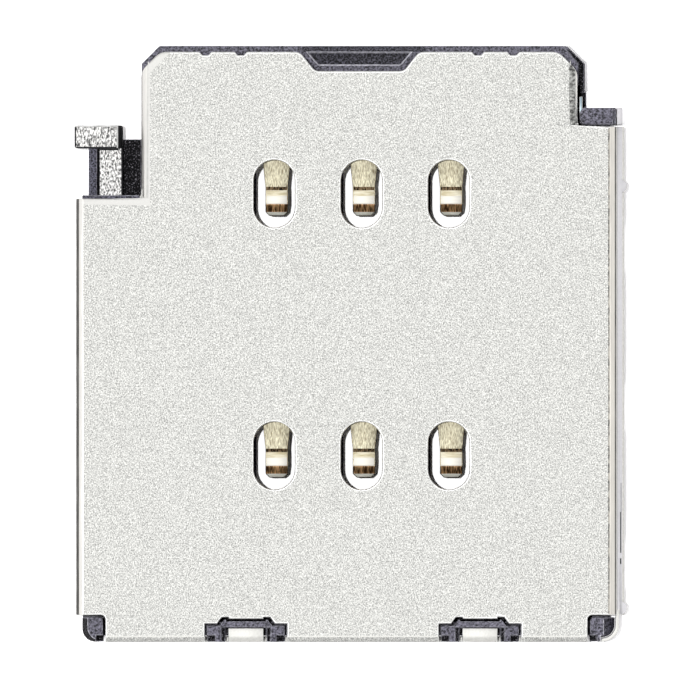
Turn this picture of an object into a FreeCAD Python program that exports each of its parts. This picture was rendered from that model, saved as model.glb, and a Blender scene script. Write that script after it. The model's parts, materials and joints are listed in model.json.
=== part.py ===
import FreeCAD, Part
import math
import os

import Sketcher

# Card tray reader for a circuit board, in millimetres.
# The board plane is z = 0 and the card mouth faces +Y.
# The origin lies under the middle of the contact grid.

SIZES = {
    # Contact grid of the card standard
    "contact_pitch": 2.54,
    "row_pitch": 7.62,
    # Height stack
    "overall_height": 1.40,
    "sheet": 0.15,
    "bend_inside": 0.10,
    "floor_height": 0.35,
    "running_fit": 0.03,
    "press_fit": 0.01,
    # Cover plan
    "rear_reach": 9.03,
    "left_shoulder_y": 3.87,
    "right_shoulder_y": 5.97,
    "mouth_width": 12.69,
    "mouth_center_x": -0.135,
    "front_edge_y": 8.14,
    "front_corner_cut": 0.55,
    "front_corner_round": 0.45,
    "skirt_lift": 0.25,
    "foot_width": 1.40,
    "foot_pitch": 4.60,
    "rear_bend_inside": 0.03,
    # Mouth notch and the small notches along the mouth edge
    "notch_depth": 0.56,
    "notch_top_half": 1.74,
    "notch_bottom_half": 1.29,
    "notch_inner_round": 0.25,
    "notch_outer_round": 0.30,
    "nick_inner": 3.45,
    "nick_outer": 4.48,
    "nick_width": 0.36,
    "nick_depth": 0.10,
    "nick_round": 0.07,
    # Windows over the contacts
    "window_width": 1.20,
    "window_length": 1.97,
    "window_shift_x": -0.07,
    "window_shift_y": 0.20,
    # Rear corners and rear clip openings
    "corner_notch_width": 0.85,
    "corner_notch_depth": 0.78,
    "corner_round": 0.38,
    "inner_corner_round": 0.13,
    "corner_band": 0.11,
    "corner_band_low": 0.25,
    "corner_band_high": 1.10,
    "corner_band_out": 0.07,
    "post_nick": 0.20,
    "clip_spacing": 6.81,
    "clip_center_x": -0.03,
    "clip_width": 2.39,
    "clip_shoulder_depth": 0.53,
    "clip_peak_rise": 0.14,
    "clip_peak_half": 0.70,
    "clip_wall_drop": 0.75,
    "clip_gap": 0.07,
    "clip_relief": 0.05,
    "clip_relief_width": 0.19,
    "leg_pocket_width": 0.24,
    "leg_pocket_length": 0.20,
    "leg_pocket_depth": 0.45,
    "leg_step_depth": 0.22,
    "leg_step_width": 0.12,
    "tab_width": 1.02,
    "tab_reach": 0.40,
    "tab_drop": 0.10,
    "tab_gap": 0.09,
    # Step of the right skirt and its ears
    "step_level": 0.95,
    "step_reach": 0.225,
    "step_round": 0.08,
    "ear_front_inset": 1.73,
    "ear_rear_inset": 0.21,
    "ear_radius": 0.19,
    "ear_reach": 0.31,
    "ear_round": 0.17,
    # Base plan
    "lip_reach": 0.19,
    "lip_corner_cut": 0.52,
    "left_rail": 0.43,
    "right_rail": 1.12,
    "ledge_wall": 0.25,
    "ledge_length": 1.735,
    "ledge_wall_drop": 0.35,
    "switch_reach": 0.21,
    "ridge_cut": 0.43,
    "shelf_height": 0.15,
    "switch_gap_reach": 0.27,
    "switch_gap_length": 0.47,
    "lug_gap_side": 0.07,
    "lug_groove": 0.04,
    "lug_groove_inset": 0.045,
    "lug_groove_depth": 0.12,
    "lug_gap": 0.06,
    "lug_width": 0.49,
    "lug_round": 0.19,
    "lug_drop": 0.20,
    "rear_wall": 0.39,
    "post_drop": 0.04,
    "corner_gap": 0.07,
    "left_post_slope": 0.16,
    "right_post_slope": 0.32,
    "post_rear_slope": 0.05,
    "post_slope_depth": 0.45,
    "recess_rim": 0.19,
    "recess_inset": 0.23,
    "recess_depth": 0.26,
    # Contacts
    "contact_sheet": 0.10,
    "contact_root_width": 0.79,
    "contact_tip_width": 0.655,
    "contact_crest_gap": 0.09,
    "contact_opening_half": 0.595,
    "contact_opening_rear": 0.90,
    "contact_opening_front": 2.60,
    "contact_tail_length": 0.70,
    "contact_crest_half": 0.11,
    "contact_brow_drop": 0.03,
    "contact_knee_reach": 0.40,
    "contact_knee_step": 0.09,
    "contact_elbow_reach": 1.35,
    "contact_arm_rise": 0.11,
    "contact_flare_reach": 1.03,
    "contact_fall": 0.30,
    "contact_fall_reach": 0.19,
    "contact_tip_reach": 0.145,
    "contact_tip_dip": 0.025,
    "contact_tip_corner": 0.12,
    "contact_wide_bend": 0.45,
    "contact_tight_bend": 0.09,
    "contact_knee_bend": 0.05,
    # Push rod
    "front_bar_reach": 0.10,
    "front_bar_depth": 0.30,
    "front_bar_round": 0.08,
    "rod_inset": 0.54,
    "rod_width": 0.72,
    "rod_floor_height": 0.49,
    "rod_thick": 0.40,
    "rod_head_overhang": 0.405,
    "rod_head_width": 1.41,
    "rod_head_depth": 0.68,
    "rod_head_drop": 0.06,
    "rod_head_slope": 0.13,
    # Lever and its pin
    "lever_tip_inset": 0.10,
    "lever_thick": 0.35,
    "lever_lift": 0.05,
    "lever_in_reach": 2.40,
    "lever_in_rise": 0.70,
    "lever_in_radius": 0.28,
    "lever_out_reach": 5.40,
    "lever_out_fall": 0.10,
    "lever_out_radius": 0.25,
    "lever_eye_radius": 0.38,
    "pin_radius": 0.20,
    "pin_head_radius": 0.32,
    "pin_head_thick": 0.12,
    # Switch terminal, switch spring and tray spring
    "terminal_sheet": 0.06,
    "terminal_height": 0.45,
    "spring_sheet": 0.09,
    "spring_low": 0.45,
    "spring_tall": 0.60,
    "spring_arm_length": 0.52,
    "post_thick": 0.16,
    "tray_spring_middle_y": 0.60,
    "tray_spring_length": 3.90,
    "tray_spring_foot": 0.45,
    "tray_spring_crest": 0.60,
    "tray_spring_bulge": 0.20,
    "tray_spring_pocket": 0.56,
}


class Length:
    """A length with the sheet expression that drives it."""

    def __init__(self, value, text):
        self.value = value
        self.text = text

    def __add__(self, other):
        other = length(other)
        return Length(self.value + other.value, f"({self.text} + {other.text})")

    def __sub__(self, other):
        other = length(other)
        return Length(self.value - other.value, f"({self.text} - {other.text})")

    def __mul__(self, factor):
        return Length(self.value * factor, f"({self.text} * {factor})")

    def __truediv__(self, divisor):
        return Length(self.value / divisor, f"({self.text} / {divisor})")

    def __neg__(self):
        return Length(-self.value, f"(-{self.text})")


def length(item):
    if isinstance(item, Length):
        return item
    return Length(float(item), f"({item})")


doc = FreeCAD.newDocument("card_reader")
sheet = doc.addObject("Spreadsheet::Sheet", "sizes")
for row, (alias, number) in enumerate(SIZES.items(), start=1):
    sheet.set(f"A{row}", alias)
    sheet.set(f"B{row}", str(number))
    sheet.setAlias(f"B{row}", alias)
doc.recompute()


def size(alias):
    return Length(SIZES[alias], f"sizes.{alias}")


ZERO = length(0)


def bind(sketch, kind, places, amount):
    """Adds one dimension to a sketch and ties it to its sheet expression."""
    index = sketch.addConstraint(Sketcher.Constraint(kind, *places, amount.value))
    sketch.setExpression(f"Constraints[{index}]", amount.text)


def hold_point(sketch, geometry, position, x, y):
    bind(sketch, "DistanceX", (-1, 1, geometry, position), x)
    bind(sketch, "DistanceY", (-1, 1, geometry, position), y)


def new_body(label):
    body = doc.addObject("PartDesign::Body", label)
    body.Label = label
    return body


def new_sketch(body, name, role, offset):
    """An empty sketch on one of the body's own planes, moved along its normal."""
    sketch = body.newObject("Sketcher::SketchObject", f"{body.Name}_{name}_sketch")
    plane = next(item for item in body.Origin.OriginFeatures if item.Role == role)
    sketch.AttachmentSupport = [(plane, "")]
    sketch.MapMode = "FlatFace"
    sketch.setExpression(".AttachmentOffset.Base.z", length(offset).text)
    return sketch


def corner_arc(before, corner, after, radius):
    """Start, end, centre and turning sense of the arc that rounds a corner."""
    to_before = (before - corner).normalize()
    to_after = (after - corner).normalize()
    half = to_before.getAngle(to_after) / 2
    reach = radius / math.tan(half)
    start = corner + to_before * reach
    end = corner + to_after * reach
    middle = corner + (to_before + to_after).normalize() * (radius / math.sin(half))
    turns_left = to_before.cross(to_after).z < 0
    return start, end, middle, turns_left


def draw_loop(sketch, corners):
    """A closed outline; a corner with a third number is rounded to that radius."""
    count = len(corners)
    corners = [tuple(length(item) for item in corner) for corner in corners]
    points = [FreeCAD.Vector(corner[0].value, corner[1].value, 0) for corner in corners]
    starts = list(points)
    ends = list(points)
    arcs = {}
    for index, corner in enumerate(corners):
        if len(corner) == 3:
            before = points[index - 1]
            after = points[(index + 1) % count]
            arc = corner_arc(before, points[index], after, corner[2].value)
            arcs[index] = arc
            ends[index] = arc[0]
            starts[index] = arc[1]
    lines = []
    for index in range(count):
        segment = Part.LineSegment(starts[index], ends[(index + 1) % count])
        lines.append(sketch.addGeometry(segment, False))
    for index, corner in enumerate(corners):
        incoming = lines[index - 1]
        outgoing = lines[index]
        if index not in arcs:
            sketch.addConstraint(Sketcher.Constraint("Coincident", incoming, 2, outgoing, 1))
            hold_point(sketch, outgoing, 1, corner[0], corner[1])
            continue
        start, end, middle, turns_left = arcs[index]
        circle = Part.Circle(middle, FreeCAD.Vector(0, 0, 1), corner[2].value)
        first, last = (start, end) if turns_left else (end, start)
        arc = Part.ArcOfCircle(circle, circle.parameter(first), circle.parameter(last))
        bend = sketch.addGeometry(arc, False)
        mark = sketch.addGeometry(Part.Point(points[index]), True)
        hold_point(sketch, mark, 1, corner[0], corner[1])
        entry, exit_side = (1, 2) if turns_left else (2, 1)
        sketch.addConstraint(Sketcher.Constraint("PointOnObject", mark, 1, incoming))
        sketch.addConstraint(Sketcher.Constraint("PointOnObject", mark, 1, outgoing))
        sketch.addConstraint(Sketcher.Constraint("Tangent", incoming, 2, bend, entry))
        sketch.addConstraint(Sketcher.Constraint("Tangent", bend, exit_side, outgoing, 1))
        bind(sketch, "Radius", (bend,), corner[2])


def draw_capsule(sketch, first, second, radius):
    """Two half circles about the given centres, joined by straight sides."""
    one = FreeCAD.Vector(first[0].value, first[1].value, 0)
    two = FreeCAD.Vector(second[0].value, second[1].value, 0)
    along = (two - one).normalize()
    side = FreeCAD.Vector(-along.y, along.x, 0) * radius.value
    axis = FreeCAD.Vector(0, 0, 1)
    arcs = []
    for middle, start, end in ((one, side, -side), (two, -side, side)):
        circle = Part.Circle(middle, axis, radius.value)
        low = circle.parameter(middle + start)
        high = circle.parameter(middle + end)
        arcs.append(sketch.addGeometry(Part.ArcOfCircle(circle, low, high), False))
    lower = sketch.addGeometry(Part.LineSegment(one - side, two - side), False)
    upper = sketch.addGeometry(Part.LineSegment(two + side, one + side), False)
    hold_point(sketch, arcs[0], 3, *first)
    hold_point(sketch, arcs[1], 3, *second)
    sketch.addConstraint(Sketcher.Constraint("Tangent", arcs[0], 2, lower, 1))
    sketch.addConstraint(Sketcher.Constraint("Tangent", lower, 2, arcs[1], 1))
    sketch.addConstraint(Sketcher.Constraint("Tangent", arcs[1], 2, upper, 1))
    sketch.addConstraint(Sketcher.Constraint("Tangent", upper, 2, arcs[0], 1))
    bind(sketch, "Radius", (arcs[0],), radius)


def draw_circle(sketch, x, y, radius):
    circle = Part.Circle(FreeCAD.Vector(x.value, y.value, 0), FreeCAD.Vector(0, 0, 1), radius.value)
    ring = sketch.addGeometry(circle, False)
    hold_point(sketch, ring, 3, x, y)
    bind(sketch, "Radius", (ring,), radius)


def box_loop(x_low, x_high, y_low, y_high):
    return [(x_low, y_low), (x_high, y_low), (x_high, y_high), (x_low, y_high)]


def add_pad(body, sketch, name, amount):
    pad = body.newObject("PartDesign::Pad", f"{body.Name}_{name}")
    pad.Profile = sketch
    pad.setExpression("Length", amount.text)
    doc.recompute()


def add_pocket(body, sketch, name, amount):
    before = body.Shape.Volume
    pocket = body.newObject("PartDesign::Pocket", f"{body.Name}_{name}")
    pocket.Profile = sketch
    pocket.setExpression("Length", amount.text)
    doc.recompute()
    if body.Shape.Volume >= before:
        raise RuntimeError(f"{pocket.Name} removed nothing")


def raise_loops(body, name, low, high, loops):
    """Plan outlines made solid between two heights."""
    sketch = new_sketch(body, name, "XY_Plane", low)
    for loop in loops:
        draw_loop(sketch, loop)
    add_pad(body, sketch, name, high - low)


def taper_loop(body, name, low, high, low_loop, high_loop):
    """A solid that runs from one plan outline to another above it."""
    ends = []
    for end, level, loop in (("low", low, low_loop), ("high", high, high_loop)):
        sketch = new_sketch(body, f"{name}_{end}", "XY_Plane", level)
        draw_loop(sketch, loop)
        ends.append(sketch)
    loft = body.newObject("PartDesign::AdditiveLoft", f"{body.Name}_{name}")
    loft.Profile = ends[0]
    loft.Sections = [ends[1]]
    loft.Ruled = True
    doc.recompute()


def cut_loops(body, name, low, high, loops):
    """Plan outlines cut away between two heights."""
    sketch = new_sketch(body, name, "XY_Plane", high)
    for loop in loops:
        draw_loop(sketch, loop)
    add_pocket(body, sketch, name, high - low)


# Levels and faces shared by several pieces

sheet_thick = size("sheet")
fit = size("running_fit")
press = size("press_fit")
top = size("overall_height")
plate_under = top - sheet_thick
bend_inner = size("bend_inside")
bend_outer = bend_inner + sheet_thick
floor_top = size("floor_height")
wall_top = plate_under - fit

mouth_middle = size("mouth_center_x")
mouth_left = mouth_middle - size("mouth_width") / 2
mouth_right = mouth_middle + size("mouth_width") / 2
slot_left = mouth_left + sheet_thick
slot_right = mouth_right - sheet_thick
rod_right = mouth_left - size("rod_inset")
rod_left = rod_right - size("rod_width")
channel_left = rod_left - fit
channel_right = rod_right + fit
base_left = channel_left - size("left_rail")
base_right = slot_right + size("right_rail")
shell_left = base_left - fit - sheet_thick
shell_right = base_right + fit + sheet_thick
step_right = shell_right + size("step_reach")
step_top = size("step_level")
step_low = step_top - sheet_thick
front_edge = size("front_edge_y")
left_shoulder = size("left_shoulder_y")
right_shoulder = size("right_shoulder_y")
rear_face = -size("rear_reach")
corner_y = rear_face + size("corner_notch_depth")
skirt_left_end = shell_left + size("corner_notch_width")
skirt_right_end = shell_right - size("corner_notch_width")
rear_inside = rear_face + sheet_thick
base_rear = rear_inside + fit
rear_wall_front = base_rear + size("rear_wall")

clip_half = size("clip_width") / 2
clip_middles = [
    size("clip_center_x") - size("clip_spacing") / 2,
    size("clip_center_x") + size("clip_spacing") / 2,
]
clip_shoulder = rear_face + size("clip_shoulder_depth")
clip_peak = clip_shoulder + size("clip_peak_rise")
clip_low = top - size("clip_wall_drop")
tab_half = size("tab_width") / 2
tab_top = top - size("tab_drop")
tab_front = rear_face + size("tab_reach")

columns = [-size("contact_pitch"), ZERO, size("contact_pitch")]
rows = [size("row_pitch") / 2, -(size("row_pitch") / 2)]
contact_places = [(column, row) for row in rows for column in columns]

rod_low = size("rod_floor_height") + fit
rod_high = rod_low + size("rod_thick")
lever_in_x = rod_right - size("lever_tip_inset")
pivot_x = lever_in_x + size("lever_in_reach")
pivot_y = rear_wall_front + size("lever_eye_radius") + fit
lever_low = floor_top + size("lever_lift")
lever_high = lever_low + size("lever_thick")
lever_in_y = pivot_y + size("lever_in_rise")
rod_rear = lever_in_y + size("lever_in_radius") + fit


# Cover shell

shell = new_body("cover_shell")


def channel(name, front, rear, left, left_low, right, right_low):
    """A length of the cover with a bent skirt on either side."""
    sketch = new_sketch(shell, name, "XZ_Plane", -front)
    draw_loop(sketch, [
        (left, left_low),
        (left, top, bend_outer),
        (right, top, bend_outer),
        (right, right_low),
        (right - sheet_thick, right_low),
        (right - sheet_thick, plate_under, bend_inner),
        (left + sheet_thick, plate_under, bend_inner),
        (left + sheet_thick, left_low),
    ])
    add_pad(shell, sketch, name, front - rear)


skirt_stop = floor_top + fit
lift = size("skirt_lift")
channel("mouth", front_edge, right_shoulder, mouth_left, skirt_stop, mouth_right, skirt_stop)
channel("neck", right_shoulder, left_shoulder, mouth_left, skirt_stop, shell_right, step_top)
channel("body", left_shoulder, corner_y, shell_left, lift, shell_right, step_top)

# Lower part of the right skirt, stepped outwards
step_sketch = new_sketch(shell, "step", "XZ_Plane", -right_shoulder)
draw_loop(step_sketch, [
    (shell_right - sheet_thick, step_top),
    (step_right, step_top, size("step_round")),
    (step_right, lift),
    (step_right - sheet_thick, lift),
    (step_right - sheet_thick, step_low),
    (shell_right - sheet_thick, step_low),
])
add_pad(shell, step_sketch, "step", right_shoulder - corner_y)


def inner_corner(x, y, x_way, y_way):
    """Web of the plate that rounds an inner corner of its outline, open towards the two ways."""
    reach = size("inner_corner_round") * 2
    return [
        (x - sheet_thick * x_way, y + reach * y_way), (x, y + reach * y_way),
        (x, y, size("inner_corner_round")),
        (x + reach * x_way, y), (x + reach * x_way, y - sheet_thick * y_way),
        (x - sheet_thick * x_way, y - sheet_thick * y_way),
    ]


rear_bend = size("rear_bend_inside")
rear_sketch = new_sketch(shell, "rear", "YZ_Plane", skirt_left_end)
draw_loop(rear_sketch, [
    (rear_face, lift),
    (rear_inside, lift),
    (rear_inside, plate_under, rear_bend),
    (corner_y + sheet_thick, plate_under),
    (corner_y + sheet_thick, top),
    (rear_face, top, rear_bend + sheet_thick),
])
add_pad(shell, rear_sketch, "rear", skirt_right_end - skirt_left_end)
raise_loops(shell, "rear_webs", plate_under, top, [
    inner_corner(skirt_left_end, corner_y, -1, -1),
    inner_corner(skirt_right_end, corner_y, 1, -1),
])
for side, way, web_x, web_y in (
    ("left", -1, mouth_left, left_shoulder),
    ("right", 1, mouth_right, right_shoulder),
):
    high_web = inner_corner(web_x - bend_outer * way, web_y - bend_outer, way, 1)
    taper_loop(shell, f"{side}_web", plate_under, top, inner_corner(web_x, web_y, way, 1), high_web)

for side, skirt_x in (("left", shell_left), ("right", step_right - sheet_thick)):
    foot_sketch = new_sketch(shell, f"feet_{side}", "YZ_Plane", skirt_x)
    for step in (-1, 0, 1):
        foot_y = (left_shoulder + corner_y) / 2 + size("foot_pitch") * step
        foot_half = size("foot_width") / 2
        draw_loop(foot_sketch, box_loop(foot_y - foot_half, foot_y + foot_half, ZERO, lift * 2))
    add_pad(shell, foot_sketch, f"feet_{side}", sheet_thick)

ear_radius = size("ear_radius")
ear_x = shell_right + size("ear_reach") - ear_radius
ear_places = [right_shoulder - size("ear_front_inset"), corner_y + size("ear_rear_inset")]
raise_loops(shell, "ears", step_low, step_top, [[
    (shell_right, ear_y - ear_radius),
    (ear_x + ear_radius, ear_y - ear_radius, size("ear_round")),
    (ear_x + ear_radius, ear_y + ear_radius, size("ear_round")),
    (shell_right, ear_y + ear_radius),
] for ear_y in ear_places])

cut = size("front_corner_cut")
notch_floor = front_edge - size("notch_depth")
beyond = front_edge + sheet_thick
corner_turn = size("front_corner_round")
notch_turn = size("notch_outer_round")
mouth_cuts = [
    [(mouth_left, front_edge - cut * 2), (mouth_left, front_edge - cut, corner_turn),
     (mouth_left + cut, front_edge, corner_turn), (mouth_left + cut * 2, front_edge),
     (mouth_left + cut * 2, beyond), (mouth_left - cut, beyond), (mouth_left - cut, front_edge - cut * 2)],
    [(mouth_right, front_edge - cut * 2), (mouth_right + cut, front_edge - cut * 2),
     (mouth_right + cut, beyond), (mouth_right - cut * 2, beyond), (mouth_right - cut * 2, front_edge),
     (mouth_right - cut, front_edge, corner_turn), (mouth_right, front_edge - cut, corner_turn)],
    [(mouth_middle - size("notch_bottom_half"), notch_floor, size("notch_inner_round")),
     (mouth_middle + size("notch_bottom_half"), notch_floor, size("notch_inner_round")),
     (mouth_middle + size("notch_top_half"), front_edge, notch_turn),
     (mouth_middle + size("notch_top_half") + notch_turn, front_edge),
     (mouth_middle + size("notch_top_half") + notch_turn, beyond),
     (mouth_middle - size("notch_top_half") - notch_turn, beyond),
     (mouth_middle - size("notch_top_half") - notch_turn, front_edge),
     (mouth_middle - size("notch_top_half"), front_edge, notch_turn)],
]
nick_half = size("nick_width") / 2
nick_floor = front_edge - size("nick_depth")
for nick in (-size("nick_outer"), -size("nick_inner"), size("nick_inner"), size("nick_outer")):
    nick_x = mouth_middle + nick
    mouth_cuts.append([
        (nick_x - nick_half / 2, nick_floor, size("nick_round")),
        (nick_x + nick_half / 2, nick_floor, size("nick_round")),
        (nick_x + nick_half, front_edge), (nick_x + nick_half, beyond),
        (nick_x - nick_half, beyond), (nick_x - nick_half, front_edge),
    ])
cut_loops(shell, "mouth_cuts", ZERO, top, mouth_cuts)

window_sketch = new_sketch(shell, "windows", "XY_Plane", top)
window_radius = size("window_width") / 2
window_half = size("window_length") / 2 - window_radius
for column, row in contact_places:
    window_x = column + size("window_shift_x")
    window_y = row + size("window_shift_y")
    ends = (window_x, window_y - window_half), (window_x, window_y + window_half)
    draw_capsule(window_sketch, *ends, window_radius)
add_pocket(shell, window_sketch, "windows", sheet_thick)


def clip_outline(middle, gap, rear):
    """Stepped outline of a rear clip opening, drawn in by a gap all round."""
    half = clip_half - gap
    peak_half = size("clip_peak_half") - gap
    slope = size("clip_peak_rise")
    relief = clip_peak - gap + size("clip_relief")
    relief_half = size("clip_peak_half") - size("clip_relief_width") + gap
    return [
        (middle - half, rear), (middle + half, rear),
        (middle + half, clip_shoulder - gap),
        (middle + peak_half + slope, clip_shoulder - gap),
        (middle + peak_half, relief),
        (middle + relief_half, relief),
        (middle + relief_half, clip_peak - gap),
        (middle - relief_half, clip_peak - gap),
        (middle - relief_half, relief),
        (middle - peak_half, relief),
        (middle - peak_half - slope, clip_shoulder - gap),
        (middle - half, clip_shoulder - gap),
    ]


clip_cuts = [clip_outline(middle, ZERO, rear_face - sheet_thick) for middle in clip_middles]
cut_loops(shell, "clip_cuts", clip_low, top, clip_cuts)

for side, middle in zip(("left", "right"), clip_middles):
    tab_sketch = new_sketch(shell, f"tab_{side}", "YZ_Plane", middle - tab_half)
    draw_loop(tab_sketch, [
        (rear_face, lift),
        (rear_inside, lift),
        (rear_inside, tab_top - sheet_thick, rear_bend),
        (tab_front, tab_top - sheet_thick),
        (tab_front, tab_top),
        (rear_face, tab_top, rear_bend + sheet_thick),
    ])
    add_pad(shell, tab_sketch, f"tab_{side}", tab_half * 2)

# Band of the right skirt that goes on round the rear corner
band = size("corner_band")
band_right = shell_right + size("corner_band_out")
band_left = band_right - band
band_turn = size("corner_round") + band
band_end = band_right - band_turn - fit
raise_loops(shell, "corner_band", size("corner_band_low"), size("corner_band_high"), [[
    (band_left, corner_y + sheet_thick), (band_left, rear_face + band, size("corner_round")),
    (band_end, rear_face + band), (band_end, rear_face),
    (band_right, rear_face, band_turn), (band_right, corner_y + sheet_thick),
]])


# Base housing

base = new_body("base_housing")
post_left_end = skirt_left_end - size("corner_gap")
post_right_end = skirt_right_end + size("corner_gap")
post_front = corner_y - size("corner_gap")
post_right = band_left - fit
post_rear = rear_face + band + fit
corner_round = size("corner_round")
lip_front = front_edge + size("lip_reach")
lip_cut = size("lip_corner_cut")
ledge_left = channel_left - size("ledge_wall")
ledge_front = left_shoulder + size("ledge_length")
left_front = left_shoulder - fit
right_front = right_shoulder - fit
lug_left = mouth_right + size("lug_gap_side")
lug_right = shell_right - fit
lug_rear = right_shoulder + size("lug_gap")
lug_front = lug_rear + size("lug_width")
ridge_x = mouth_right + fit
switch_x = mouth_right + size("switch_reach")
gap_x = mouth_right + size("switch_gap_reach")
gap_front = lug_front + size("switch_gap_length")

raise_loops(base, "floor", ZERO, floor_top, [[
    (mouth_left + lip_cut, lip_front),
    (mouth_left, lip_front - lip_cut),
    (mouth_left, ledge_front),
    (ledge_left, ledge_front),
    (ledge_left, left_front),
    (base_left, left_front),
    (base_left, rear_face, corner_round),
    (post_left_end, rear_face),
    (post_left_end, base_rear),
    (post_right_end, base_rear),
    (post_right_end, rear_face),
    (band_end - fit, rear_face),
    (band_end - fit, post_rear),
    (post_right, post_rear, corner_round - fit),
    (post_right, post_front),
    (base_right, post_front),
    (base_right, lug_rear),
    (lug_right, lug_rear),
    (lug_right, lug_front),
    (ridge_x, lug_front),
    (ridge_x, lip_front - lip_cut),
    (ridge_x - size("ridge_cut"), lip_front),
]])

# Low shelf outside the mouth, under the tray switch
raise_loops(base, "shelf", ZERO, size("shelf_height"), [[
    (slot_right, lug_front - fit), (gap_x, lug_front - fit), (gap_x, gap_front), (switch_x, gap_front),
    (switch_x, lip_front - lip_cut), (switch_x - lip_cut, lip_front), (slot_right - lip_cut, lip_front),
]])

# Channel of the push rod with its two walls
channel_rear = lever_in_y + size("lever_in_radius") + fit * 4
rod_floor = size("rod_floor_height")
ledge_wall_top = plate_under - size("ledge_wall_drop")
raise_loops(base, "rod_floor", ZERO, rod_floor, [[
    (ledge_left, channel_rear), (mouth_left, channel_rear),
    (mouth_left, ledge_front), (ledge_left, ledge_front),
]])
raise_loops(base, "ledge_wall", ZERO, ledge_wall_top, [
    box_loop(ledge_left, channel_left, left_front - fit, ledge_front),
])
raise_loops(base, "rod_walls", ZERO, wall_top, [
    box_loop(base_left, channel_left, post_front, left_front),
    box_loop(channel_right, slot_left, channel_rear, left_front),
])

# Bar over the push rod, along the cover's left shoulder
front_bar_front = left_shoulder + size("front_bar_reach")
front_bar_rear = left_shoulder - size("front_bar_depth")
raise_loops(base, "front_bar", rod_high + fit, wall_top, [[
    (base_left, front_bar_front),
    (base_left, front_bar_rear),
    (mouth_left - fit, front_bar_rear),
    (mouth_left - fit, front_bar_front, size("front_bar_round")),
]])

# Right rail and rear wall
raise_loops(base, "rail_and_rear", ZERO, wall_top, [[
    (skirt_left_end + fit, base_rear), (base_right, base_rear, corner_round / 2), (base_right, right_front),
    (slot_right, right_front), (slot_right, rear_wall_front), (skirt_left_end + fit, rear_wall_front),
]])

# Corner posts that show in the rear corners of the cover
post_top = top - size("post_drop")
post_shoulder = post_top - size("post_slope_depth")
post_corner = size("inner_corner_round") - fit


def left_post(side_slope, rear_slope):
    """Plan of the left post, drawn in by a slope at its side and its rear."""
    side = base_left + side_slope
    rear = rear_face + rear_slope
    return [
        (side, rear, corner_round), (post_left_end, rear),
        (post_left_end, post_front, post_corner), (side, post_front),
    ]


def right_post(side_slope, rear_slope):
    """Plan of the right post, clear of the band round its corner."""
    side = post_right - side_slope
    rear = rear_face + rear_slope
    return [
        (band_end - fit, rear), (band_end - fit, post_rear + rear_slope),
        (side, post_rear + rear_slope, corner_round - fit - side_slope), (side, post_front),
        (post_right_end, post_front, post_corner), (post_right_end, rear),
    ]


cut_loops(base, "corner_rooms", floor_top, wall_top, [
    box_loop(shell_left, skirt_left_end, rear_face, corner_y),
    box_loop(skirt_right_end, shell_right, rear_face, corner_y),
])
raise_loops(base, "posts", ZERO, post_shoulder, [left_post(ZERO, ZERO), right_post(ZERO, ZERO)])
for side, plan in (("left", left_post), ("right", right_post)):
    slopes = size(f"{side}_post_slope"), size("post_rear_slope")
    taper_loop(base, f"post_{side}", post_shoulder, post_top, plan(ZERO, ZERO), plan(*slopes))
nick = size("post_nick")
cut_loops(base, "post_nicks", floor_top, top, [
    box_loop(post_left_end - nick, post_left_end, rear_face, rear_face + nick),
    box_loop(post_right_end, post_right_end + nick, rear_face, rear_face + nick),
])

# Clip bosses: a bar in front of each tab and a leg on either side of it
boss_low = clip_low + fit
bar_low = lever_high + size("pin_head_thick") + fit * 2
leg_inner = tab_half + size("tab_gap")
clip_gap = size("clip_gap")
leg_outer = clip_half - clip_gap
cut_loops(base, "clip_rooms", bar_low, wall_top, [
    clip_outline(middle, ZERO, base_rear - fit) for middle in clip_middles
])
raise_loops(base, "clip_bars", bar_low, post_top, [
    clip_outline(middle, clip_gap, tab_front + fit) for middle in clip_middles
])
legs = []
for middle in clip_middles:
    legs.append(box_loop(middle - leg_outer, middle - leg_inner, rear_face, tab_front + fit * 2))
    legs.append(box_loop(middle + leg_inner, middle + leg_outer, rear_face, tab_front + fit * 2))
raise_loops(base, "clip_legs", bar_low, post_top, legs)
leg_roots = []
for middle in clip_middles:
    leg_roots.append(box_loop(middle - leg_outer, middle - leg_inner, rear_face, base_rear + fit))
    leg_roots.append(box_loop(middle + leg_inner, middle + leg_outer, rear_face, base_rear + fit))
raise_loops(base, "clip_leg_roots", boss_low, bar_low, leg_roots)
leg_pockets = []
leg_steps = []
for middle, sign in [(middle, sign) for middle in clip_middles for sign in (-1, 1)]:
    outer_end = middle + leg_outer * sign
    outer_inside = outer_end - size("leg_pocket_width") * sign
    inner_end = middle + leg_inner * sign
    inner_inside = inner_end + size("leg_step_width") * sign
    leg_pockets.append(box_loop(outer_end, outer_inside, rear_face, rear_face + size("leg_pocket_length")))
    leg_steps.append(box_loop(inner_end, inner_inside, rear_face, tab_front + fit))
cut_loops(base, "leg_pockets", post_top - size("leg_pocket_depth"), post_top, leg_pockets)
cut_loops(base, "leg_steps", post_top - size("leg_step_depth"), post_top, leg_steps)

# Switch lug and the thin wall beside the mouth
lug_top = top - size("lug_drop")
raise_loops(base, "lug", ZERO, lug_top, [[
    (lug_left, lug_rear, size("lug_round")), (lug_right, lug_rear),
    (lug_right, lug_front), (lug_left, lug_front, size("lug_round")),
]])
raise_loops(base, "lug_root", ZERO, lug_top - size("lug_drop"), [
    box_loop(lug_left + size("lug_width") / 2, base_right, right_front - fit, lug_front - fit),
])
groove_right = lug_right - size("lug_groove_inset")
cut_loops(base, "lug_groove", lug_top - size("lug_groove_depth"), lug_top, [
    box_loop(groove_right - size("lug_groove"), groove_right, lug_rear, lug_front),
])

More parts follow.
